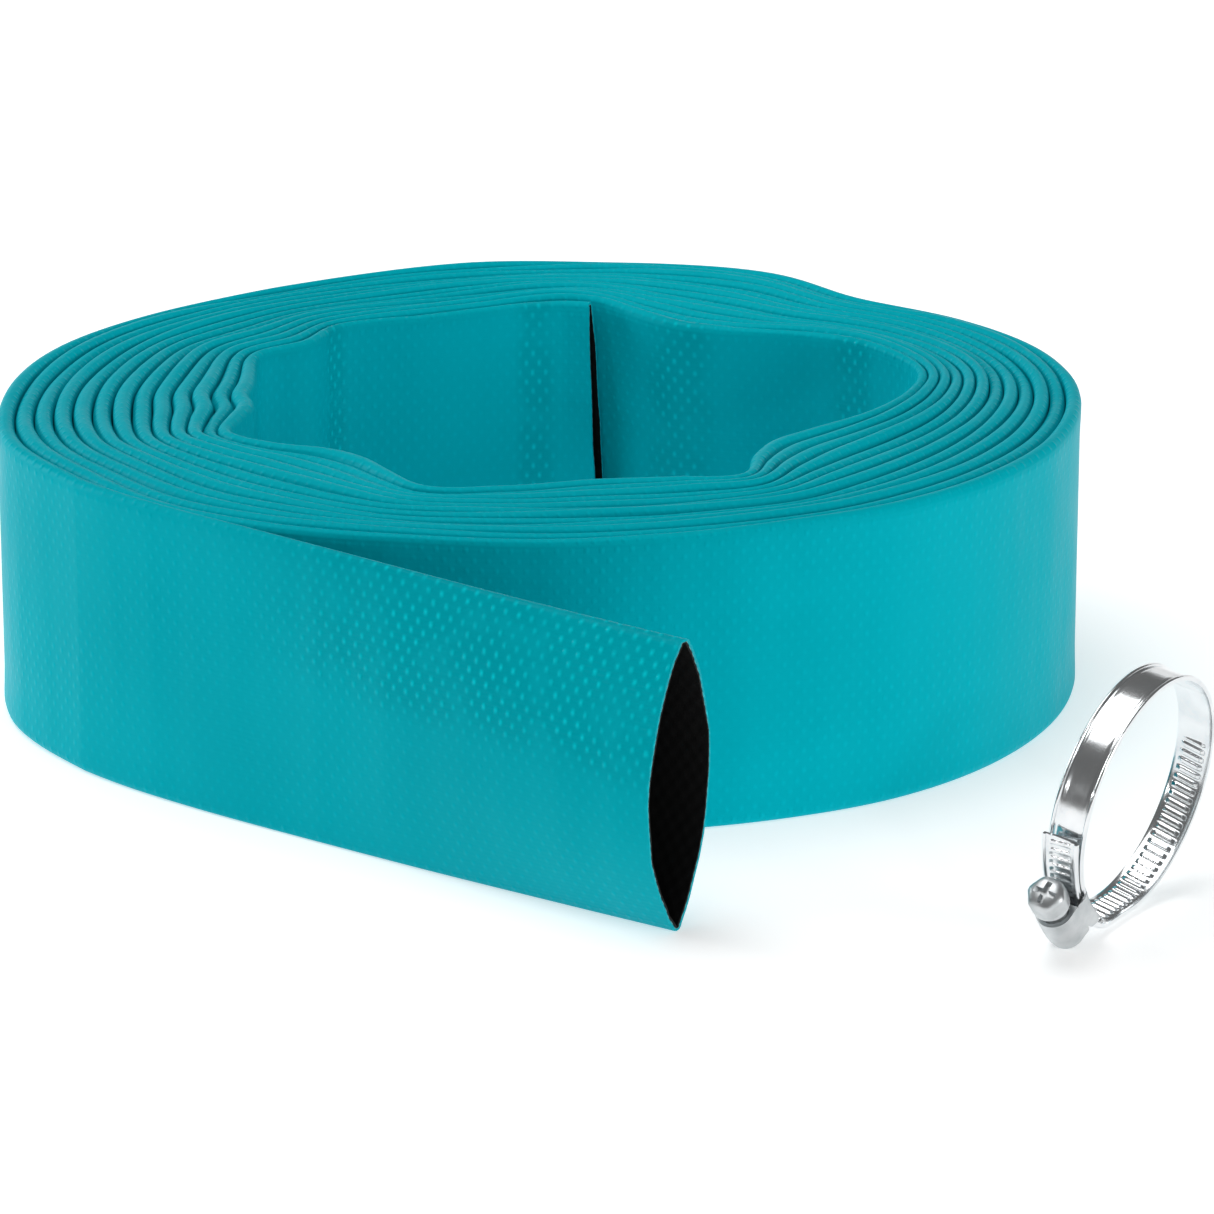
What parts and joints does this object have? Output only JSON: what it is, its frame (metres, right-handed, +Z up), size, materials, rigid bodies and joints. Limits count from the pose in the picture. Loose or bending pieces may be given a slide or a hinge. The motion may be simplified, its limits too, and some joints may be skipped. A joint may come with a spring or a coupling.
{
  "type": "rolled layflat hose with clamp",
  "caption": "Flat reinforced PVC delivery hose wound into an oval roll with an open free end, and a separate worm-drive hose clamp.",
  "frame": {"origin": "middle of the whole set's footprint, on the floor", "axes": "+Z up, along the upright hose's width; the free end runs towards +X and -Y; the viewer stands at -Y"},
  "size_m": [0.2396, 0.2462, 0.062],
  "materials": {
    "turquoise_pvc": "semi-gloss, embossed with the weave beneath",
    "polyester_yarn": "woven yarn",
    "black_pvc": "matt",
    "plated_band": "bright zinc plate",
    "plated_housing": "dull zinc plate"
  },
  "bodies": {
    "roll": {"hose_roll": "turquoise_pvc", "inner_end_cover": "turquoise_pvc", "inner_end_yarn_layer": "polyester_yarn", "inner_end_lining": "black_pvc"},
    "free_end": {"free_end_cover": "turquoise_pvc", "free_end_yarn_layer": "polyester_yarn", "free_end_lining": "black_pvc"},
    "clamp": {"clamp_band": "plated_band", "clamp_housing": "plated_housing"},
    "screw": {"clamp_screw": "plated_housing"},
    "band_tail": {"clamp_band_tail": "plated_band"}
  },
  "joints": [
    {"name": "free_end_swing", "type": "hinge", "parent": "roll", "child": "free_end", "pos_m": [-0.10076, -0.01963, 0.031], "axis": [0, 0, -1], "range_deg": [0, 25]},
    {"name": "clamp_lift", "type": "slide", "parent": "roll", "child": "clamp", "axis": [0, 0, 1], "range_m": [0, 0.12]},
    {"name": "screw_turn", "type": "hinge", "parent": "clamp", "child": "screw", "pos_m": [0.08876, -0.11196, 0.00631], "axis": [0.2872, 0.6347, -0.7174], "range_deg": [-640, 540]},
    {"name": "band_close", "type": "hinge", "parent": "clamp", "child": "band_tail", "pos_m": [0.11444, -0.0826, 0.04256], "axis": [-0.8276, 0.5415, 0.1478], "range_deg": [-3.8, 3.2]}
  ],
  "couplings": [
    {"joint": "band_close", "follows": "screw_turn", "ratio": 0.00557}
  ]
}
